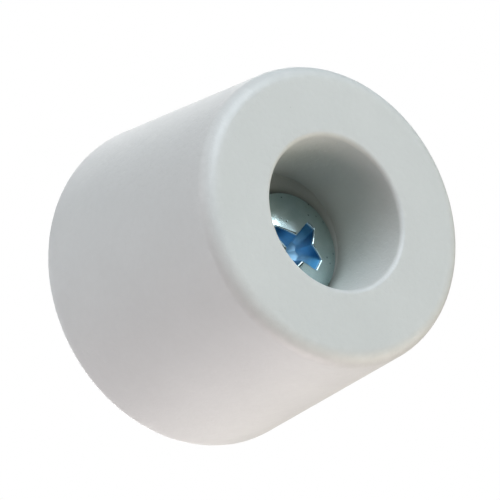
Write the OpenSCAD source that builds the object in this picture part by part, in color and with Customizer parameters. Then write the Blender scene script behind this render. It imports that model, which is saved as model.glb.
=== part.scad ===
// Screw-fixed rubber door stop for a wall: a tapered buffer with a deep screw well,
// a steel washer moulded into it, a cross-recessed screw and an expansion plug.
// Millimetres. The wall face is y = 0, the stop stands out towards -Y, and +Z is up.
// The origin is the point where the screw's axis meets the wall.

/* [Buffer] */
// Diameter of the face against the wall
base_d = 40; // [36:0.5:46]
// Diameter of the front face, before its edge is rounded
front_d = 34.6; // [32:0.1:36]
// Height from the wall to the front face
height = 30; // [27:0.5:34]
// Radius of the rounded front edge
front_round = 1.8; // [0.8:0.1:2.5]
// Radius of the rounded edge at the wall
base_round = 0.6; // [0.3:0.1:1]

/* [Screw well] */
// Diameter of the well at the front face
well_mouth_d = 17.7; // [16.5:0.1:19]
// Diameter of the well at its floor
well_floor_d = 15.6; // [15.5:0.1:16.4]
// Depth of the well below the front face
well_depth = 10.8; // [8:0.1:12]
// Radius of the rounded lip at the well's mouth
lip_round = 0.6; // [0.3:0.1:1]

/* [Fit on the screw] */
// Diameter of the clearance hole for the screw
hole_d = 8.4; // [8.2:0.1:9]
// How far the stop's axis sits to the left of the screw's axis
stop_shift = 0.6; // [0:0.1:0.7]
// How far the stop's axis sits above the screw's axis
stop_rise = 1.0; // [0:0.1:1]

/* [Washer] */
// Outer diameter of the moulded-in washer
washer_d = 24; // [18:0.5:26]
// Thickness of the washer
washer_t = 2; // [1:0.1:2.5]
// Rubber left over the washer, under the screw head
washer_cover = 1.5; // [1:0.1:3]

/* [Screw] */
// Diameter of the screw head
head_d = 13; // [12.5:0.1:13.2]
// Height of the head's straight rim
head_rim = 0.4; // [0.3:0.05:0.8]
// Height of the dome above the rim
dome_h = 1.9; // [1.5:0.1:2.2]
// Length under the head
screw_length = 40; // [38:0.5:42]
// Diameter over the thread
thread_d = 5.5; // [5:0.1:5.5]
// Diameter at the bottom of the thread
root_d = 3.9; // [3.6:0.1:4.2]
// Distance from one turn of the thread to the next
pitch = 1.8; // [1.6:0.1:2.2]
// Length of the threaded end, with its point
thread_length = 26; // [22:0.5:30]

/* [Cross recess] */
// Span across two opposite wings at the dome
recess_span = 6.8; // [6:0.1:7.2]
// Width of a wing
wing_w = 1.35; // [1.1:0.05:1.6]
// Depth of the recess below the top of the dome
recess_depth = 3.3; // [2.8:0.1:3.4]
// Angle of the first wing, from +X towards +Z
recess_angle = 65; // [0:1:89]

/* [Wall plug] */
// Diameter of the plug and of the hole drilled for it
plug_d = 8; // [7.6:0.1:8.4]
// Length of the plug behind the wall face
plug_length = 20; // [19:0.5:21]
// Length of the plug's plain neck
neck_length = 6; // [5:0.5:8]
// Diameter of the collar that stays outside the wall
collar_d = 10.5; // [10:0.1:11.5]
// Thickness of the collar
collar_t = 0.8; // [0.6:0.1:1]
// Width of the slots that split the plug
slot_w = 1.1; // [0.8:0.1:1.4]

/* [Hidden] */
$fn = 96;

eps = 0.01;
bore_clearance = 0.05;                      // between the thread and the plug's bore
collar_clearance = 0.4;                     // between the collar and the relief's floor
relief_d = 14;                              // relief in the base for the collar
relief_depth = collar_t + collar_clearance;
floor_z = height - well_depth;              // the well's floor, from the wall
washer_z = floor_z - washer_cover - washer_t;
front_r = front_d / 2;
taper = atan((base_d - front_d) / 2 / height);

shank_d = 4.4;
shank_overlap = 0.4;                        // the shank runs this far into the thread
shank_length = screw_length - thread_length + shank_overlap;
dome_r = (pow(head_d / 2, 2) + pow(dome_h, 2)) / (2 * dome_h);
head_h = head_rim + dome_h;
recess_floor_span = 2.5;
recess_core_top = 4.1;                      // the round middle of the recess, at the dome
recess_core_bottom = 1.7;

point_length = 5;                           // the thread's cone
point_r = 0.35;
turn_steps = 20;                            // steps in one turn of the thread
thread_lead = 0.3;                          // pitches before the first turn starts
thread_turns = floor(thread_length / pitch) - 1;
groove = 0.35;                              // share of the pitch taken by the flat root
crest = 0.12;                               // share taken by the crest
fade_out_turns = 1.5;                       // the thread runs out over this many turns at the point

tooth_pitch = 2.3;
tooth_depth = 0.55;
tooth_crest = 0.35;                         // share of a tooth's length from its neck side to its crest
rib_w = 1.0;
rib_sink = 0.3;                             // the locking ribs stay this far inside the neck's radius
rib_gap = 1;                                // plain neck left above the ribs

// Stands a shape that rises along its own +Z out of the wall, towards -Y.
module out_of_wall() {
    rotate([90, 0, 0]) children();
}

// The stop is held a little off the screw's axis, inside its clearance hole.
module on_stop_axis() {
    out_of_wall() translate([-stop_shift, stop_rise, 0]) children();
}

// Points of an arc about c, from angle a0 to angle a1.
function arc(c, r, a0, a1, steps) =
    [for (i = [0:steps]) let (a = a0 + (a1 - a0) * i / steps) [c[0] + r * cos(a), c[1] + r * sin(a)]];

module buffer() {
    // The centres of the rounded edges, where both touch the tapered side.
    front_c = [front_r - front_round * (1 - sin(taper)) / cos(taper), height - front_round];
    base_c = [base_d / 2 - base_round * (1 + sin(taper)) / cos(taper), base_round];
    lip_c = [well_mouth_d / 2 + lip_round, height - lip_round];
    color("gainsboro") on_stop_axis() rotate_extrude()
        polygon(concat(
            [[relief_d / 2, 0]],
            arc(base_c, base_round, -90, taper, 6),
            arc(front_c, front_round, taper, 90, 12),
            arc(lip_c, lip_round, 90, 180, 6),
            [[well_floor_d / 2, floor_z],
             [hole_d / 2, floor_z],
             [hole_d / 2, washer_z + washer_t],
             [washer_d / 2, washer_z + washer_t],
             [washer_d / 2, washer_z],
             [hole_d / 2, washer_z],
             [hole_d / 2, relief_depth],
             [relief_d / 2, relief_depth]]));
}

module reinforcing_washer() {
    color("silver") on_stop_axis() translate([0, 0, washer_z]) difference() {
        cylinder(d = washer_d, h = washer_t);
        translate([0, 0, -eps]) cylinder(d = hole_d, h = washer_t + 2 * eps);
    }
}

// A mushroom head that sits on z = 0, with the plain part of the shank below it.
module screw_blank() {
    difference() {
        union() {
            cylinder(d = head_d, h = head_rim);
            translate([0, 0, head_rim]) intersection() {
                translate([0, 0, dome_h - dome_r]) sphere(r = dome_r);
                cylinder(d = head_d, h = dome_h + 1);
            }
            translate([0, 0, -shank_length]) cylinder(d = shank_d, h = shank_length + head_rim);
        }
        cross_recess();
    }
}

// Two crossed tapering wings round a tapering middle.
module cross_recess() {
    over = 0.5;
    bottom = head_h - recess_depth;
    for (a = [0, 90])
        rotate([0, 0, recess_angle + a]) rotate([90, 0, 0])
            linear_extrude(height = wing_w, center = true)
                polygon([[-recess_floor_span / 2, bottom], [recess_floor_span / 2, bottom],
                         [recess_span / 2, head_h + over], [-recess_span / 2, head_h + over]]);
    translate([0, 0, bottom])
        cylinder(d1 = recess_core_bottom, d2 = recess_core_top, h = recess_depth + over);
}

// Radius of the thread's root, at a depth t from where the thread starts.
function root_at(t) =
    let (cone = thread_length - point_length)
    t < cone ? root_d / 2 : root_d / 2 + (point_r - root_d / 2) * (t - cone) / point_length;

// Share of the thread's full height, which fades out at both ends. Its first and last turns stay flat,
// so that the faces which close the two ends are flat too.
function fade(t) =
    let (start = (thread_lead + 1) * pitch, end = (thread_lead + thread_turns - 1) * pitch)
    t <= start || t >= end ? 0 : min(1, (t - start) / pitch, (end - t) / (fade_out_turns * pitch));

// A right-hand thread along -Z from z = 0, with flat roots, sloping flanks and its point.
module thread() {
    knots = [0, groove, 0.5 + groove / 2 - crest / 2, 0.5 + groove / 2 + crest / 2];
    lifts = [0, 0, 1, 1];
    per = len(knots);
    rows = thread_turns * per;
    height_full = (thread_d - root_d) / 2;
    top = [for (i = [0:turn_steps - 1]) let (a = 360 * i / turn_steps)
           [root_d / 2 * cos(a), root_d / 2 * sin(a), 0]];
    tip = [for (i = [0:turn_steps - 1]) let (a = 360 * i / turn_steps)
           [point_r * cos(a), point_r * sin(a), -thread_length]];
    // Row k runs once round, down one pitch, and carries on as row k + per.
    body = [for (k = [0:rows]) for (i = [0:turn_steps - 1])
            let (a = -360 * i / turn_steps,
                 t = pitch * (thread_lead + floor(k / per) + knots[k % per] + i / turn_steps),
                 r = root_at(t) + lifts[k % per] * height_full * fade(t))
            [r * cos(a), r * sin(a), -t]];
    n = turn_steps;
    function up(i) = (n - i) % n;                       // the rings count the other way round
    function at(k, i) = i < n ? n + k * n + i : n + (k + per) * n;
    last = rows - per;
    tip0 = n + (rows + 1) * n;
    // Where the first and the last turn leave the seam, a fan of triangles takes up its points.
    top_fan = concat([for (k = [per:-1:0]) at(k, 0)], [up(0), up(n - 1)]);
    tip_fan = concat([for (k = [0:per]) at(last + k, 0)], [tip0 + up(0), tip0 + up(1)]);
    faces = concat(
        [[for (i = [n - 1:-1:0]) i]],
        [for (i = [0:n - 2]) [at(0, i), at(0, i + 1), up(i + 1), up(i)]],
        [for (j = [0:len(top_fan) - 2]) [at(0, n - 1), top_fan[j], top_fan[j + 1]]],
        [for (k = [0:last - 1]) for (i = [0:n - 1]) for (half = [0, 1])
            half == 0 ? [at(k, i), at(k + 1, i + 1), at(k, i + 1)]
                      : [at(k, i), at(k + 1, i), at(k + 1, i + 1)]],
        [for (j = [0:len(tip_fan) - 2]) [at(last, 1), tip_fan[j], tip_fan[j + 1]]],
        [for (i = [1:n - 1]) [tip0 + up(i), tip0 + up(i + 1), at(last, i + 1), at(last, i)]],
        [[for (i = [0:n - 1]) tip0 + i]]);
    polyhedron(concat(top, body, tip), faces);
}

module screw() {
    color("lightsteelblue") out_of_wall() translate([0, 0, floor_z]) union() {
        screw_blank();
        translate([0, 0, thread_length - screw_length]) thread();
    }
}

// The plug as it sits in its hole, spread by the screw.
module wall_plug() {
    teeth = floor((plug_length - neck_length) / tooth_pitch);
    r = plug_d / 2;
    bore_r = thread_d / 2 + bore_clearance;
    teeth_end = -neck_length - teeth * tooth_pitch;
    color("whitesmoke") out_of_wall() difference() {
        union() {
            cylinder(d = collar_d, h = collar_t);
            translate([0, 0, -neck_length]) cylinder(r = r, h = neck_length);
            rotate_extrude() polygon(concat(
                [[0, -plug_length], [r - 2 * tooth_depth, -plug_length], [r - tooth_depth, teeth_end]],
                [for (i = [teeth - 1:-1:0]) for (p = [[tooth_depth, i + 1], [0, i + tooth_crest]])
                    [r - p[0], -neck_length - p[1] * tooth_pitch]],
                [[r - tooth_depth, -neck_length], [0, -neck_length]]));
            intersection() {
                for (a = [45, 225])
                    rotate([0, 0, a]) translate([0, -rib_w / 2, teeth_end])
                        cube([r, rib_w, -teeth_end - rib_gap]);
                translate([0, 0, teeth_end]) cylinder(r = r - rib_sink, h = -teeth_end);
            }
        }
        translate([0, 0, -plug_length - 1]) cylinder(r = bore_r, h = plug_length + collar_t + 2);
        for (a = [0, 90])
            rotate([0, 0, a]) translate([-plug_d, -slot_w / 2, -plug_length - 1])
                cube([2 * plug_d, slot_w, plug_length - neck_length]);
    }
}

buffer();
reinforcing_washer();
screw();
wall_plug();
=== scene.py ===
import math

import bmesh
import bpy
import numpy as np
from mathutils import Matrix, Vector


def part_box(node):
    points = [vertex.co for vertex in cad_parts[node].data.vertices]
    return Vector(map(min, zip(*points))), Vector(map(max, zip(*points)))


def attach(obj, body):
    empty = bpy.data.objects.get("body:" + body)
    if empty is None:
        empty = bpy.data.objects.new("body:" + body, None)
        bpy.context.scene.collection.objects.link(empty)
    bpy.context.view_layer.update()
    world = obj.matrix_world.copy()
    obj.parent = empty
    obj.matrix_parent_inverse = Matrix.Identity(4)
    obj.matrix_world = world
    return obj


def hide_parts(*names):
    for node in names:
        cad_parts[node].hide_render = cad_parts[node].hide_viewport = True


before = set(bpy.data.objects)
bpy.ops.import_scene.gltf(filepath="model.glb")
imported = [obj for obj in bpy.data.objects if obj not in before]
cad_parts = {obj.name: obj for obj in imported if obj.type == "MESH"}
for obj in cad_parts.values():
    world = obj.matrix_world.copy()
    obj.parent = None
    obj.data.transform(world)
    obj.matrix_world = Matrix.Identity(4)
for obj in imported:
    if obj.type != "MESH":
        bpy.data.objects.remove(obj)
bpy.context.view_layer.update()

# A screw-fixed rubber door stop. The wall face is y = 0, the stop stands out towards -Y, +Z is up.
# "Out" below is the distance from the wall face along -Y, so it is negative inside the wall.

MM = 0.001

# ---------------------------------------------------------------- places, from the frame

buffer_lo, buffer_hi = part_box("buffer")
screw_lo, screw_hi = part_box("screw")
plug_lo, plug_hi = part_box("wall_plug")
washer_lo, washer_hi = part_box("reinforcing_washer")

stop_axis = ((buffer_lo.x + buffer_hi.x) / 2, (buffer_lo.z + buffer_hi.z) / 2)
screw_axis = ((screw_lo.x + screw_hi.x) / 2, (screw_lo.z + screw_hi.z) / 2)
stop_height = -buffer_lo.y
screw_tip = -screw_hi.y
plug_out = -plug_lo.y
plug_in = -plug_hi.y

# ---------------------------------------------------------------- sizes of the details

AROUND = 288                  # points in a ring of the buffer or of the screw's head
PLUG_AROUND = 96

# The buffer.
FRONT_R = 17.3 * MM           # front face, before its edge is rounded
BASE_R = 20.0 * MM
FRONT_ROUND = 1.8 * MM
BASE_ROUND = 0.6 * MM
MOUTH_R = 8.85 * MM
LIP_ROUND = 0.6 * MM
WELL_R = 7.8 * MM             # at the well's floor
WELL_DEPTH = 10.8 * MM
WELL_CORNER = 0.1 * MM        # rounding between the well's wall and its floor
HOLE_R = 4.2 * MM
RELIEF_R = 7.0 * MM           # the relief in the base that takes the plug's collar
RELIEF_DEPTH = 1.2 * MM
HOLE_EDGE = 0.2 * MM          # rounding of the hole's front edge and of the relief's edge
ON_ARC = 0.02 * MM            # how near a rounded edge's arc a point counts as lying on it
FLOOR_SHADE_REACH = 1.6 * MM         # how far up from its floor the well is darkened with painted shade
HEAD_SHADOW_REACH = 2.4 * MM        # how far up the well's wall the painted shadow beside the head reaches
HEAD_SHADOW_NARROW = 1.9            # how many times shorter that reach is across the well's floor

# The screw.
HEAD_R = 6.5 * MM
HEAD_RIM = 0.4 * MM
DOME_H = 1.9 * MM
EDGE_ROUND = 0.16 * MM        # rounding of the head's edge
SHANK_R = 2.2 * MM
SHANK_FILLET = 0.35 * MM      # between the shank and the head
ROOT_R = 1.95 * MM
THREAD_R = 2.75 * MM
PITCH = 1.8 * MM
THREAD_LENGTH = 26.0 * MM
POINT_LENGTH = 5.0 * MM
POINT_R = 0.35 * MM

# The screw's cross recess. Its floor is narrower than its top by the taper and then by the shrink.
RECESS_ANGLE = math.radians(62)
RECESS_SHIFT = (0.22 * MM, -0.26 * MM)   # the recess is punched a little off the head's middle
RECESS_SPAN = 6.9 * MM        # across two opposite wings, at the dome
RECESS_DEPTH = 2.7 * MM
RECESS_CONE = 0.35 * MM       # depth of the cone-shaped floor below that
RECESS_TAPER = 2.0 * MM
RECESS_SHRINK = 0.4
WING_TIP = 1.3 * MM           # width of a wing at its tip
WING_TAPER = 0.25 * MM        # how much narrower the tip is at the floor
WING_FLARE = 0.23             # how much a wing's sides open towards the middle
WING_ROUND = 0.18 * MM
WING_SOFTEN = 0.6 * MM        # how much rounder a wing's corners are at the floor
CORNER_WEAR = (-0.4 * MM, 0.0, 0.05 * MM, 0.25 * MM)   # how far each corner between wings is worn open
RIM_LIP = 0.24 * MM           # radius of the recess's rounded rim
WING_FROM = 1.6 * MM          # where the painted shade towards the wings' ends begins
WING_FADE = 1.2 * MM          # and how far it is from there to their full darkness

# The plug.
COLLAR_R = 5.25 * MM
COLLAR_EDGE = 0.15 * MM       # rounding of the collar's edges
PLUG_R = 4.0 * MM
PLUG_BORE_R = 2.8 * MM
NECK = 6.0 * MM               # length of the plain part behind the wall face
TOOTH_PITCH = 2.3 * MM
TOOTH_DEPTH = 0.55 * MM
SLOT_W = 1.1 * MM
SLOT_GAP = 1.0 * MM           # from the end of the neck to where the slots begin
RIB_W = 1.0 * MM
RIB_SINK = 0.3 * MM           # the ribs stay this far inside the neck's radius
RIB_GAP = 1.0 * MM            # from the wall face to where the ribs begin
OVERLAP = 1.0 * MM            # how far the ribs reach into the neck, and the slots past the plug's end

well_floor = stop_height - WELL_DEPTH
head_top = well_floor + HEAD_RIM + DOME_H   # the head sits on the well's floor


# ---------------------------------------------------------------- mesh helpers

def new_mesh(name, points, faces, smooth_angle=40):
    """A piece from points and faces, shaded smooth except across edges sharper than the angle."""
    mesh = bpy.data.meshes.new(name)
    mesh.from_pydata([tuple(p) for p in points], [], faces)
    mesh.validate()
    mesh.update()
    piece = bpy.data.objects.new(name, mesh)
    bpy.context.scene.collection.objects.link(piece)
    mesh.shade_smooth()
    mesh.set_sharp_from_angle(angle=math.radians(smooth_angle))
    return piece


def place(r, angle, out, axis):
    """The point at a radius, an angle and a distance out from the wall, about an axis along Y."""
    return (axis[0] + r * math.cos(angle), -out, axis[1] + r * math.sin(angle))


def arc(centre, radius, start, end, steps):
    """Points of an arc in the (radius, out) plane, angles in degrees."""
    turn = [math.radians(start + (end - start) * i / steps) for i in range(steps + 1)]
    return [(centre[0] + radius * math.cos(a), centre[1] + radius * math.sin(a)) for a in turn]


def spaced(a, b, steps):
    """Points between a and b, without either end."""
    return [(a[0] + (b[0] - a[0]) * i / steps, a[1] + (b[1] - a[1]) * i / steps) for i in range(1, steps)]


def lathe(name, profile, axis, segments):
    """Turns a closed (radius, out) profile into a ring-shaped piece."""
    points = [place(r, math.tau * s / segments, out, axis) for r, out in profile for s in range(segments)]
    count = len(profile)
    faces = []
    for k in range(count):
        a, b = k * segments, (k + 1) % count * segments
        for s in range(segments):
            t = (s + 1) % segments
            faces.append((a + s, b + s, b + t, a + t))
    return new_mesh(name, points, faces)


def face_outwards(piece):
    """Makes every face of a closed piece look outwards."""
    work = bmesh.new()
    work.from_mesh(piece.data)
    bmesh.ops.recalc_face_normals(work, faces=work.faces)
    work.to_mesh(piece.data)
    work.free()


def paint(piece, name, values):
    """Stores a number from 0 to 1 on every point of a piece, for its material to read."""
    layer = piece.data.attributes.new(name, "FLOAT", "POINT")
    layer.data.foreach_set("value", np.asarray(values, np.float32))


# ---------------------------------------------------------------- the rubber buffer

def make_buffer():
    taper = math.atan((BASE_R - FRONT_R) / stop_height)
    lean = math.degrees(taper)
    front_c = (FRONT_R - FRONT_ROUND * (1 - math.sin(taper)) / math.cos(taper), stop_height - FRONT_ROUND)
    base_c = (BASE_R - BASE_ROUND * (1 + math.sin(taper)) / math.cos(taper), BASE_ROUND)
    lip_c = (MOUTH_R + LIP_ROUND, stop_height - LIP_ROUND)
    washer_front, washer_back = -washer_lo.y, -washer_hi.y
    washer_r = (washer_hi.x - washer_lo.x) / 2
    base_arc = arc(base_c, BASE_ROUND, -90, lean, 8)
    front_arc = arc(front_c, FRONT_ROUND, lean, 90, 18)
    lip_arc = arc(lip_c, LIP_ROUND, 90, 180, 10)
    floor_arc = arc((WELL_R - WELL_CORNER, well_floor + WELL_CORNER), WELL_CORNER, 0, -90, 6)
    hole_arc = arc((HOLE_R + HOLE_EDGE, well_floor - HOLE_EDGE), HOLE_EDGE, 90, 180, 4)
    mouth_arc = arc((RELIEF_R + HOLE_EDGE, HOLE_EDGE), HOLE_EDGE, 180, 270, 4)
    relief_in = (RELIEF_R, RELIEF_DEPTH)
    profile = (
        mouth_arc + spaced(mouth_arc[-1], base_arc[0], 14) + base_arc
        + spaced(base_arc[-1], front_arc[0], 40) + front_arc
        + spaced(front_arc[-1], lip_arc[0], 12) + lip_arc
        + spaced(lip_arc[-1], floor_arc[0], 20) + floor_arc
        + spaced(floor_arc[-1], hole_arc[0], 6) + hole_arc
        + [(HOLE_R, washer_front), (washer_r, washer_front), (washer_r, washer_back), (HOLE_R, washer_back)]
        + [(HOLE_R, RELIEF_DEPTH), relief_in])
    piece = lathe("rubber_buffer", profile, stop_axis, AROUND)
    face_outwards(piece)

    # How deep in the well and how near its floor a point lies, for the painted shade there, and whether it
    # lies on a rounded edge, for the rubbed wear and painted sheen there.
    rounded = [(front_c, FRONT_ROUND), (base_c, BASE_ROUND), (lip_c, LIP_ROUND)]
    in_well, near_floor, on_edge = [], [], []
    for r, out in profile:
        inside = r < MOUTH_R + LIP_ROUND / 2 and out > well_floor - HOLE_EDGE / 2
        in_well.append(min(1.0, (stop_height - out) / WELL_DEPTH) if inside else 0.0)
        near_floor.append(max(0.0, 1 - (out - well_floor) / FLOOR_SHADE_REACH) ** 2 if inside else 0.0)
        away = [abs(math.hypot(r - c[0], out - c[1]) - size) for c, size in rounded]
        on_edge.append(1.0 if min(away) < ON_ARC else 0.0)
    for name, values in (("in_well", in_well), ("near_floor", near_floor), ("on_edge", on_edge)):
        paint(piece, name, np.repeat(values, AROUND))

    # Painted shadow: the rubber is darkened where it comes close to the rim of the screw's head, which
    # shades it.
    head_shadow = []
    for vertex, well in zip(piece.data.vertices, np.repeat(in_well, AROUND)):
        x, y, z = vertex.co
        aside = abs(math.hypot(x - screw_axis[0], z - screw_axis[1]) - HEAD_R)
        above = max(0.0, -y - well_floor - HEAD_RIM)
        near = max(0.0, 1 - math.hypot(HEAD_SHADOW_NARROW * aside, above) / HEAD_SHADOW_REACH)
        head_shadow.append(near ** 2 if well > 0 else 0.0)
    paint(piece, "head_shadow", head_shadow)
    return piece


# ---------------------------------------------------------------- the screw

def smooth_min(a, b, soft):
    """The smaller of two distances, blended where they differ by less than soft."""
    h = max(soft - abs(a - b), 0.0) / soft
    return min(a, b) - h * h * soft / 4


def recess_radius(angle, depth):
    """Distance from the recess's middle to its wall, at an angle and a share of the recess's depth."""
    span = (RECESS_SPAN - RECESS_TAPER * depth) / 2 * (1 - RECESS_SHRINK * depth)
    tip = (WING_TIP - WING_TAPER * depth) / 2
    off = (angle - RECESS_ANGLE + math.pi / 4) % (math.pi / 2) - math.pi / 4
    worn = CORNER_WEAR[int((angle - RECESS_ANGLE) % math.tau // (math.pi / 2)) % len(CORNER_WEAR)]
    side = (tip + worn + WING_FLARE * span) / (abs(math.sin(off)) + WING_FLARE * math.cos(off))
    return smooth_min(side, span / math.cos(off), WING_ROUND + WING_SOFTEN * depth)


def make_screw():
    dome_r = (HEAD_R ** 2 + DOME_H ** 2) / (2 * DOME_H)
    recess_axis = (screw_axis[0] + RECESS_SHIFT[0], screw_axis[1] + RECESS_SHIFT[1])
    points, faces, rings = [], [], []

    def dome(r):
        """How far out the dome's surface is, at a distance from the screw's axis."""
        return head_top - dome_r + math.sqrt(dome_r ** 2 - r ** 2)

    def below_dome(x, z, sink):
        """The point that is sunk this far under the dome."""
        return (x, -dome(math.hypot(x - screw_axis[0], z - screw_axis[1])) + sink, z)

    def ring(count, at):
        rings.append((len(points), count))
        points.extend([at(math.tau * i / count + RECESS_ANGLE) for i in range(count)])

    def round_ring(count, r, out):
        ring(count, lambda angle: place(r, angle, out, screw_axis))

    def join(a, b):
        """Faces between two rings, the second of which may have fewer points."""
        (sa, na), (sb, nb) = a, b
        ratio = na // nb
        for j in range(nb):
            k = (j + 1) % nb
            upper = [sa + (j * ratio + i) % na for i in range(ratio + 1)]
            faces.append(tuple(upper + [sb + k, sb + j]))

    # The recess: its cone-shaped floor, its walls and its rounded rim.
    bottom = head_top - RECESS_DEPTH
    points.append(place(0, 0, bottom - RECESS_CONE, recess_axis))
    for share in (0.3, 0.65, 0.92):
        def cone(a, out=bottom - RECESS_CONE * (1 - share), scale=share):
            return place(scale * recess_radius(a, 1), a, out, recess_axis)
        ring(AROUND, cone)
    levels = 14
    for i in range(levels):
        def wall(a, up=i / (levels - 1)):
            x, _, z = place(recess_radius(a, 1 - up), a, 0, recess_axis)
            top = -below_dome(x, z, RIM_LIP)[1]
            return (x, -(bottom + (top - bottom) * up), z)
        ring(AROUND, wall)
    for turn in (20, 40, 60, 80):
        def rim(a, lean=math.radians(turn)):
            x, _, z = place(recess_radius(a, 0) + RIM_LIP * (1 - math.cos(lean)), a, 0, recess_axis)
            return below_dome(x, z, RIM_LIP * (1 - math.sin(lean)))
        ring(AROUND, rim)
    recess_end = len(points)

    # The dome, from the recess to the head's edge.
    edge_r = HEAD_R - EDGE_ROUND
    spread = 22
    for i in range(1, spread + 1):
        def cap(a, share=i / spread):
            inner = place(recess_radius(a, 0) + RIM_LIP, a, 0, recess_axis)
            outer = place(edge_r, a, 0, screw_axis)
            x, z = (inner[k] + (outer[k] - inner[k]) * share for k in (0, 2))
            return below_dome(x, z, 0)
        ring(AROUND, cap)
    edge_c = dome(edge_r) - 0.9 * EDGE_ROUND
    for turn in (60, 35, 10, -10):
        a = math.radians(turn)
        round_ring(AROUND, edge_r + EDGE_ROUND * math.cos(a), edge_c + EDGE_ROUND * math.sin(a))
    inset = 0.9 * MM
    for r in (HEAD_R - 0.05 * MM, HEAD_R - inset, SHANK_R + inset):
        round_ring(AROUND, r, well_floor)
    steps = AROUND // 6   # points in a ring of the shank, a whole share of the head's, for join()
    for turn in (0, 22.5, 45, 67.5, 90):
        a = math.radians(turn)
        wider = SHANK_FILLET * (1 - math.sin(a))
        lower = SHANK_FILLET * (1 - math.cos(a))
        round_ring(steps, SHANK_R + wider, well_floor - lower)
    thread_top = screw_tip + THREAD_LENGTH
    round_ring(steps, SHANK_R, (well_floor + thread_top) / 2)
    round_ring(steps, SHANK_R, thread_top + 0.35 * MM)   # the shank narrows here to the thread's root
    round_ring(steps, ROOT_R, thread_top)

    first = rings[0]
    for i in range(AROUND):
        faces.append((0, first[0] + i, first[0] + (i + 1) % AROUND))
    for a, b in zip(rings, rings[1:]):
        join(a, b)

    # The thread: row k runs once round while it goes down one pitch, and carries on as row k + per.
    # Its section goes over one pitch, from root to crest and back: the share of the pitch, the height.
    section = [(0.0, 0.0), (0.17, 0.0), (0.35, 0.0), (0.40, 0.07), (0.60, 0.93), (0.64, 1.0), (0.69, 1.0),
               (0.73, 0.93), (0.93, 0.07)]
    per = len(section)
    lead = 0.3   # pitches from the thread's top to row 0
    turns = int(THREAD_LENGTH / PITCH) - 1
    point_start = THREAD_LENGTH - POINT_LENGTH
    fade_in = (lead + 1) * PITCH
    fade_out = (lead + turns - 1) * PITCH

    def root_at(t):
        """The root's radius at a depth below the thread's top."""
        return ROOT_R + (POINT_R - ROOT_R) * max(0.0, t - point_start) / POINT_LENGTH

    def lift_at(t):
        """How far the crest stands above the root at a depth below the thread's top."""
        if t <= fade_in or t >= fade_out:
            return 0.0
        return min(1.0, (t - fade_in) / PITCH, (fade_out - t) / (1.5 * PITCH)) * (THREAD_R - ROOT_R)

    last = (turns - 1) * per
    rows = {}
    for k in range(turns * per + 1):
        share, lift = section[k % per]
        for i in range(steps if k <= last else 1):
            t = PITCH * (lead + k // per + share + i / steps)
            angle = RECESS_ANGLE - math.tau * i / steps
            rows[k, i] = len(points)
            points.append(place(root_at(t) + lift * lift_at(t), angle, thread_top - t, screw_axis))
    for k in range(last + 1):
        rows[k, steps] = rows[k + per, 0]
    top0 = rings[-1][0]
    tip0 = len(points)
    for i in range(steps):
        points.append(place(POINT_R, RECESS_ANGLE - math.tau * i / steps, screw_tip, screw_axis))
    nose = len(points)
    points.append(place(0, 0, screw_tip, screw_axis))

    def top(i):
        return top0 + (steps - i) % steps

    def tip(i):
        return tip0 + i % steps

    # Faces from the shank's last ring to row 0, along the thread, and from its last row to the point.
    for i in range(steps - 1):
        faces.append((top(i), top(i + 1), rows[0, i + 1], rows[0, i]))
    fan = [rows[k, 0] for k in range(per, -1, -1)] + [top(0), top(steps - 1)]
    faces += [(rows[0, steps - 1], a, b) for a, b in zip(fan, fan[1:])]
    for k in range(last):
        for i in range(steps):
            faces.append((rows[k, i], rows[k, i + 1], rows[k + 1, i + 1], rows[k + 1, i]))
    fan = [rows[last + k, 0] for k in range(per + 1)] + [tip(0), tip(1)]
    faces += [(rows[last, 1], a, b) for a, b in zip(fan, fan[1:])]
    for i in range(1, steps):
        faces.append((rows[last, i], rows[last, i + 1], tip(i + 1), tip(i)))
    for i in range(steps):
        faces.append((tip(i), tip(i + 1), nose))

    piece = new_mesh("zinc_screw", points, faces, 50)
    face_outwards(piece)

    # How deep in the recess and how far out in its wings a point lies, for the painted deeper blue that
    # stands in for light bouncing in the recess, and for the painted shade at the wings' ends.
    in_recess = np.zeros(len(points))
    in_wing = np.zeros(len(points))
    for i, (x, y, z) in enumerate(points[:recess_end]):
        in_recess[i] = (y - below_dome(x, z, 0)[1]) / RECESS_DEPTH
        r = math.hypot(x - recess_axis[0], z - recess_axis[1])
        in_wing[i] = min(1.0, max(0.0, (r - WING_FROM) / WING_FADE))
    paint(piece, "in_recess", in_recess)
    paint(piece, "in_wing", in_wing)
    return piece


# ---------------------------------------------------------------- the wall plug

def apply_boolean(piece, tool, operation):
    """Joins the tool to the piece or cuts it away, and deletes it."""
    cut = piece.modifiers.new("cut", "BOOLEAN")
    cut.operation = operation
    cut.solver = "EXACT"
    cut.object = tool
    graph = bpy.context.evaluated_depsgraph_get()
    mesh = bpy.data.meshes.new_from_object(piece.evaluated_get(graph))
    piece.modifiers.clear()
    piece.data = mesh
    bpy.data.objects.remove(tool)


def block(name, x, y, z, turn):
    """A box between three pairs of limits, turned about the screw's axis."""
    corners = [(a, b, c) for a in x for b in y for c in z]
    spin = Matrix.Rotation(turn, 3, "Y")
    shift = Vector((screw_axis[0], 0, screw_axis[1]))
    faces = [(0, 1, 3, 2), (4, 6, 7, 5), (0, 4, 5, 1), (2, 3, 7, 6), (0, 2, 6, 4), (1, 5, 7, 3)]
    return new_mesh(name, [spin @ Vector(c) + shift for c in corners], faces)


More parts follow.
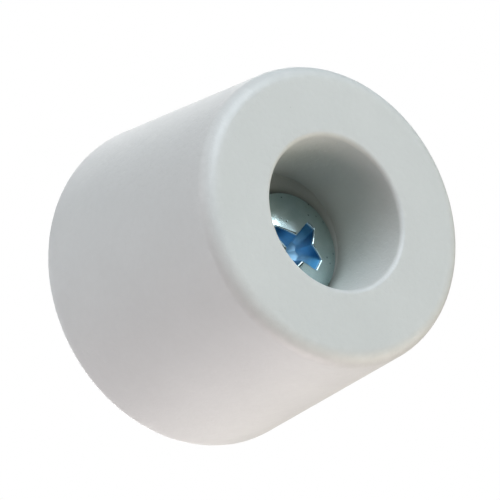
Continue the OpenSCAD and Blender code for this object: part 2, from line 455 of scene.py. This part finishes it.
def make_plug():
    # As many whole teeth as fit behind the neck.
    teeth = int((-plug_in - NECK) / TOOTH_PITCH + 1e-6)
    teeth_end = -NECK - teeth * TOOTH_PITCH
    edge = COLLAR_EDGE
    bevel = 0.05 * MM   # at the end of the neck
    profile = arc((PLUG_BORE_R + edge, plug_out - edge), edge, 180, 90, 4)
    profile += arc((COLLAR_R - edge, plug_out - edge), edge, 90, 0, 4)
    profile += arc((COLLAR_R - edge, edge), edge, 0, -90, 4)
    profile += [(PLUG_R, 0.0), (PLUG_R, -NECK + bevel), (PLUG_R - bevel, -NECK)]
    profile += [(PLUG_R - TOOTH_DEPTH, -NECK - 0.01 * MM)]
    blunt = 0.12 * MM   # half of the width of a tooth's worn crest
    for i in range(teeth):
        crest = -NECK - (i + 0.35) * TOOTH_PITCH
        root = -NECK - (i + 1) * TOOTH_PITCH
        profile += [(PLUG_R - 0.02 * MM, crest + blunt), (PLUG_R, crest)]
        profile += [(PLUG_R - 0.04 * MM, crest - blunt), (PLUG_R - TOOTH_DEPTH, root)]
    profile += [(PLUG_R - 2 * TOOTH_DEPTH, plug_in), (PLUG_BORE_R, plug_in)]
    piece = lathe("nylon_wall_plug", profile, screw_axis, PLUG_AROUND)
    face_outwards(piece)
    rib_sides = ((PLUG_R - OVERLAP, PLUG_R - RIB_SINK), (RIB_GAP, -teeth_end), (-RIB_W / 2, RIB_W / 2))
    for turn in (45, 225):
        apply_boolean(piece, block("rib", *rib_sides, -math.radians(turn)), "UNION")
    slot_along = (NECK + SLOT_GAP, -plug_in + OVERLAP)
    slot_sides = ((-2 * PLUG_R, 2 * PLUG_R), slot_along, (-SLOT_W / 2, SLOT_W / 2))
    for turn in (0, 90):
        apply_boolean(piece, block("slot", *slot_sides, math.radians(turn)), "DIFFERENCE")
    piece.data.shade_smooth()
    piece.data.set_sharp_from_angle(angle=math.radians(35))
    return piece


# ---------------------------------------------------------------- materials

class Finish:
    """A node material being built. Most helpers add nodes and return the socket that they end in."""

    def __init__(self, name):
        self.material = bpy.data.materials.new(name)
        self.material.use_nodes = True
        self.tree = self.material.node_tree
        self.shader = self.tree.nodes["Principled BSDF"]
        self.where = self.tree.nodes.new("ShaderNodeTexCoord").outputs["Object"]

    def node(self, kind, inputs=(), **settings):
        """A node with its sockets linked or set, and its own settings."""
        made = self.tree.nodes.new(kind)
        for key, value in settings.items():
            setattr(made, key, value)
        for key, value in dict(inputs).items():
            if isinstance(value, bpy.types.NodeSocket):
                self.tree.links.new(value, made.inputs[key])
            else:
                made.inputs[key].default_value = value
        return made

    def noise(self, scale, detail=3.0, roughness=0.55, squeeze=(1, 1, 1)):
        stretched = self.node("ShaderNodeMapping", {"Vector": self.where, "Scale": squeeze})
        sockets = {"Vector": stretched.outputs[0], "Scale": scale, "Detail": detail, "Roughness": roughness}
        return self.node("ShaderNodeTexNoise", sockets).outputs["Fac"]

    def specks(self, scale, share, size):
        """1 inside small round specks, which only a share of the cells has."""
        cells = self.node("ShaderNodeTexVoronoi", {"Vector": self.where, "Scale": scale})
        luck = self.node("ShaderNodeSeparateColor", {0: cells.outputs["Color"]}).outputs[0]
        chosen = self.math("LESS_THAN", luck, share)
        near = self.stretch(cells.outputs["Distance"], size, size * 0.5)
        return self.math("MULTIPLY", chosen, near)

    def math(self, operation, a, b):
        return self.node("ShaderNodeMath", {0: a, 1: b}, operation=operation).outputs[0]

    def stretch(self, value, low, high, to_low=0.0, to_high=1.0):
        sockets = {"Value": value, "From Min": low, "From Max": high, "To Min": to_low, "To Max": to_high}
        return self.node("ShaderNodeMapRange", sockets).outputs["Result"]

    def ramp(self, value, *stops):
        """A colour ramp: each stop is its place and its colour."""
        made = self.node("ShaderNodeValToRGB", {"Fac": value})
        ramp = made.color_ramp
        for stop, (at, colour) in zip((ramp.elements[0], ramp.elements[1]), (stops[0], stops[-1])):
            stop.position = at
            stop.color = (*colour, 1)
        for at, colour in stops[1:-1]:
            ramp.elements.new(at).color = (*colour, 1)
        return made.outputs["Color"]

    def mix(self, share, a, b):
        made = self.node("ShaderNodeMixRGB", {"Fac": share})
        for socket, colour in ((made.inputs["Color1"], a), (made.inputs["Color2"], b)):
            if isinstance(colour, bpy.types.NodeSocket):
                self.tree.links.new(colour, socket)
            else:
                socket.default_value = (*colour, 1)
        return made.outputs["Color"]

    def painted(self, name):
        """The number that paint() stored on the piece's points."""
        return self.node("ShaderNodeAttribute", attribute_name=name).outputs["Fac"]

    def bump(self, *layers):
        """Layers of bump, each a height and its depth in metres, one on top of the other."""
        normal = None
        for height, depth in layers:
            made = self.node("ShaderNodeBump", {"Height": height, "Distance": depth, "Strength": 1.0})
            if normal:
                self.tree.links.new(normal, made.inputs["Normal"])
            normal = made.outputs["Normal"]
        self.tree.links.new(normal, self.shader.inputs["Normal"])

    def set(self, **sockets):
        """Links or sets the shader's own sockets, named with _ for a space."""
        for key, value in sockets.items():
            socket = self.shader.inputs[key.replace("_", " ")]
            if isinstance(value, bpy.types.NodeSocket):
                self.tree.links.new(value, socket)
            else:
                socket.default_value = value


def rubber():
    """Light grey moulded rubber: faint mottling, rare dark specks, painted shade in the well and beside the
    screw's head, and rounded edges lighter, partly from rubbing and partly a painted sheen.
    """
    f = Finish("grey_rubber")
    tone = f.ramp(f.noise(110), (0.32, (0.580, 0.602, 0.592)), (0.5, (0.590, 0.613, 0.603)),
                  (0.7, (0.604, 0.626, 0.615)))
    tone = f.mix(f.stretch(f.noise(1400, 4, 0.65), 0.35, 0.75, 0.0, 0.07), tone, (0.45, 0.46, 0.45))
    # Rounded edges a little lighter: partly rubbed wear, partly a painted sheen.
    tone = f.mix(f.math("MULTIPLY", f.painted("on_edge"), f.stretch(f.noise(900), 0.4, 0.65, 0.0, 0.3)),
                 tone, (0.66, 0.68, 0.67))
    # Painted shade: the rubber is darker and mottled deeper in the well.
    well_shade = f.math("MULTIPLY", f.stretch(f.painted("in_well"), 0.15, 1.0, 0.0, 0.2),
                  f.stretch(f.noise(420, 4), 0.2, 0.7, 0.8, 1.0))
    tone = f.mix(well_shade, tone, (0.40, 0.435, 0.38))
    # Painted shade near the well's floor.
    tone = f.mix(f.math("MULTIPLY", f.painted("near_floor"), 0.22), tone, (0.15, 0.18, 0.15))
    # Painted shadow where the rubber comes close to the rim of the screw's head.
    tone = f.mix(f.math("MULTIPLY", f.painted("head_shadow"), 0.9), tone, (0.06, 0.08, 0.065))
    tone = f.mix(f.specks(130, 0.12, 0.014), tone, (0.10, 0.09, 0.08))
    tone = f.mix(f.specks(330, 0.06, 0.03), tone, (0.40, 0.39, 0.37))
    rough = f.stretch(f.noise(700, 3), 0.3, 0.7, 0.44, 0.56)
    rough = f.math("SUBTRACT", rough, f.math("MULTIPLY", f.painted("on_edge"), 0.08))
    f.set(Base_Color=tone, Roughness=rough, Specular_IOR_Level=0.5)
    pits = f.stretch(f.noise(1700, 3, 0.6), 0.30, 0.52)
    f.bump((f.noise(600, 2), 0.03 * MM), (pits, 0.012 * MM), (f.noise(6000, 2), 0.006 * MM))
    return f.material


def zinc():
    """Bright zinc plate with a blue passivation. The recess is painted a deeper blue that stands in for
    light bouncing inside it, with painted shade towards its wings' ends.
    """
    f = Finish("blue_zinc")
    tone = f.ramp(f.noise(650, 4, 0.6), (0.3, (0.50, 0.65, 0.66)), (0.5, (0.54, 0.685, 0.695)),
                  (0.7, (0.60, 0.74, 0.76)))
    flecks = f.specks(1500, 0.22, 0.22)
    tone = f.mix(flecks, tone, (0.14, 0.19, 0.20))
    depth = f.painted("in_recess")
    # Painted reflection: the plate's own blue passivation, made deeper in the recess and lighter deeper
    # down, stands in for light bouncing inside it.
    blue = f.ramp(depth, (0.0, (0.10, 0.34, 0.60)), (0.35, (0.20, 0.50, 0.78)), (0.75, (0.40, 0.68, 0.90)))
    blue = f.mix(f.stretch(f.noise(1000, 3), 0.35, 0.65, 0.0, 0.4), blue, (0.26, 0.50, 0.66))
    # Painted shade towards the wings' ends.
    blue = f.mix(f.math("MULTIPLY", f.painted("in_wing"), 0.85), blue, (0.03, 0.15, 0.30))
    inside = f.stretch(depth, 0.0, 0.12)
    tone = f.mix(inside, tone, blue)
    rough = f.stretch(f.noise(1100, 4, 0.6), 0.3, 0.7, 0.14, 0.25)
    rough = f.math("ADD", rough, f.math("MULTIPLY", inside, 0.38))
    f.set(Base_Color=tone, Metallic=1.0, Roughness=rough)
    f.bump((f.noise(1300, 3), 0.01 * MM), (f.noise(4500, 3), 0.004 * MM), (flecks, -0.01 * MM))
    return f.material


def nylon():
    """Natural nylon, slightly translucent, with flow marks along the moulding."""
    f = Finish("natural_nylon")
    tone = f.ramp(f.noise(260, 3), (0.3, (0.62, 0.60, 0.53)), (0.7, (0.71, 0.69, 0.62)))
    flow = f.stretch(f.noise(420, 4, 0.6, squeeze=(1, 0.15, 1)), 0.35, 0.7, 0.0, 0.18)
    tone = f.mix(flow, tone, (0.80, 0.78, 0.70))
    tone = f.mix(f.specks(420, 0.06, 0.08), tone, (0.33, 0.29, 0.22))
    rough = f.stretch(f.noise(800, 3), 0.3, 0.7, 0.34, 0.50)
    f.set(Base_Color=tone, Roughness=rough, Subsurface_Weight=0.15, Subsurface_Scale=0.6 * MM)
    f.bump((f.noise(500, 3, squeeze=(1, 0.2, 1)), 0.03 * MM), (f.noise(4000, 2), 0.008 * MM))
    return f.material


def steel():
    """Plain stamped steel with fine rolling marks."""
    f = Finish("plain_steel")
    tone = f.ramp(f.noise(500, 4), (0.3, (0.40, 0.40, 0.405)), (0.7, (0.56, 0.56, 0.57)))
    tone = f.mix(f.specks(700, 0.12, 0.15), tone, (0.20, 0.17, 0.14))
    rough = f.stretch(f.noise(900, 4), 0.3, 0.7, 0.26, 0.44)
    f.set(Base_Color=tone, Metallic=1.0, Roughness=rough)
    f.bump((f.noise(1800, 4, 0.7, squeeze=(0.08, 1, 1)), 0.01 * MM), (f.noise(5000, 2), 0.004 * MM))
    return f.material


def dress(piece, finish):
    """Gives a piece its material."""
    piece.data.materials.clear()
    piece.data.materials.append(finish)


# ---------------------------------------------------------------- put together

buffer = make_buffer()
dress(buffer, rubber())
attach(buffer, "stop")
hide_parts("buffer")

screw = make_screw()
dress(screw, zinc())
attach(screw, "screw")
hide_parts("screw")

plug = make_plug()
dress(plug, nylon())
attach(plug, "plug")
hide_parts("wall_plug")

dress(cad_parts["reinforcing_washer"], steel())

# ---------------------------------------------------------------- camera

VIEW_AZIMUTH = -33.74           # degrees from the front towards +X
VIEW_ELEVATION = -19.40
SENSOR = 36                     # millimetres wide
LENS = 172.8                    # millimetres
CAMERA_DISTANCE = 15.31 * FRONT_R
AIM_RIGHT = -0.5588 * FRONT_R   # where the camera looks, from the middle of the front face
AIM_UP = -0.2438 * FRONT_R


def towards(azimuth, elevation):
    """The direction at an azimuth, from the front towards +X, and an elevation, both in degrees."""
    turn = math.radians(azimuth)
    lift = math.radians(elevation)
    return Vector((math.sin(turn) * math.cos(lift), -math.cos(turn) * math.cos(lift), math.sin(lift)))


back = towards(VIEW_AZIMUTH, VIEW_ELEVATION)
right = towards(VIEW_AZIMUTH + 90, 0)
up = back.cross(right)
front_centre = Vector((stop_axis[0], -stop_height, stop_axis[1]))
camera = bpy.data.objects.new("camera", bpy.data.cameras.new("camera"))
bpy.context.scene.collection.objects.link(camera)
camera.data.lens = LENS
camera.data.sensor_width = SENSOR
camera.data.clip_start = 0.01
stand = front_centre + AIM_RIGHT * right + AIM_UP * up + CAMERA_DISTANCE * back
camera.matrix_world = Matrix.Translation(stand) @ Matrix((right, up, back)).transposed().to_4x4()
bpy.context.scene.camera = camera

# ---------------------------------------------------------------- floor and light

FLOOR_HALF = 8.0                # metres from its middle to its edge
FLOOR_Z = -1.1
FLOOR_GLOW = 0.8
WORLD_LIGHT = 0.05              # strength of the backdrop as a light
LIGHT_DISTANCE = 1.0
LIGHT_CENTRE = Vector((0, -stop_height / 2, 0))

COOL = (0.87, 0.94, 1.0)
NEUTRAL = (1.0, 0.97, 0.95)
ROSY = (1.0, 0.9, 0.93)
WARM = (1.0, 0.92, 0.76)

# Round softboxes: name, azimuth from the front towards +X, elevation, diameter in metres, watts, tint.
softboxes = [
    ("key", -15, 42, 0.8, 10.0, COOL),
    ("top_fill", 22, 38, 0.7, 1.0, COOL),
    ("low_right", 62, -28, 0.9, 6.5, WARM),
    ("left", -88, 7, 0.9, 3.5, ROSY),
    ("front_left", -55, -7, 0.9, 1.0, WARM),
    ("table_bounce", 126, -78, 0.9, 8.5, ROSY),
    ("back", 167, -10, 0.9, 6.0, NEUTRAL),
    ("back_left", -140, -2, 0.9, 4.0, COOL),
    ("back_top", 155, 28, 0.9, 4.5, NEUTRAL),
]


def softbox(name, azimuth, elevation, size, watts, tint):
    """A round lamp that faces the object and that the camera doesn't see."""
    away = towards(azimuth, elevation)
    lamp = bpy.data.lights.new(name, "AREA")
    lamp.shape = "DISK"
    lamp.size = size
    lamp.energy = watts
    lamp.color = tint
    light = bpy.data.objects.new(name, lamp)
    light.location = LIGHT_CENTRE + LIGHT_DISTANCE * away
    light.rotation_euler = away.to_track_quat("Z", "Y").to_euler()
    light.visible_camera = False
    bpy.context.scene.collection.objects.link(light)


for settings in softboxes:
    softbox(*settings)

corners = [(x * FLOOR_HALF, y * FLOOR_HALF, FLOOR_Z) for x, y in ((-1, -1), (1, -1), (1, 1), (-1, 1))]
floor_mesh = bpy.data.meshes.new("floor")
floor_mesh.from_pydata(corners, [], [(0, 1, 2, 3)])
floor = bpy.data.objects.new("floor", floor_mesh)
bpy.context.scene.collection.objects.link(floor)
pale = Finish("pale_floor")
pale.set(Base_Color=(0.8, 0.8, 0.8, 1), Roughness=0.8)
pale.set(Emission_Color=(1, 1, 1, 1), Emission_Strength=FLOOR_GLOW)
floor_mesh.materials.append(pale.material)
floor.visible_diffuse = False   # the camera sees it glow softly, and it lights nothing
floor.visible_glossy = False
floor.visible_shadow = False

# The backdrop is white to the camera, and lights the object only a little.
world = bpy.data.worlds.new("studio")
bpy.context.scene.world = world
world.use_nodes = True
tree = world.node_tree
dim = tree.nodes["Background"]
dim.inputs["Color"].default_value = (1, 1, 1, 1)
dim.inputs["Strength"].default_value = WORLD_LIGHT
white = tree.nodes.new("ShaderNodeBackground")
white.inputs["Color"].default_value = (1, 1, 1, 1)
seen = tree.nodes.new("ShaderNodeLightPath")
either = tree.nodes.new("ShaderNodeMixShader")
tree.links.new(seen.outputs["Is Camera Ray"], either.inputs["Fac"])
tree.links.new(dim.outputs["Background"], either.inputs[1])
tree.links.new(white.outputs["Background"], either.inputs[2])
tree.links.new(either.outputs["Shader"], tree.nodes["World Output"].inputs["Surface"])

bpy.context.scene.view_settings.view_transform = "Standard"
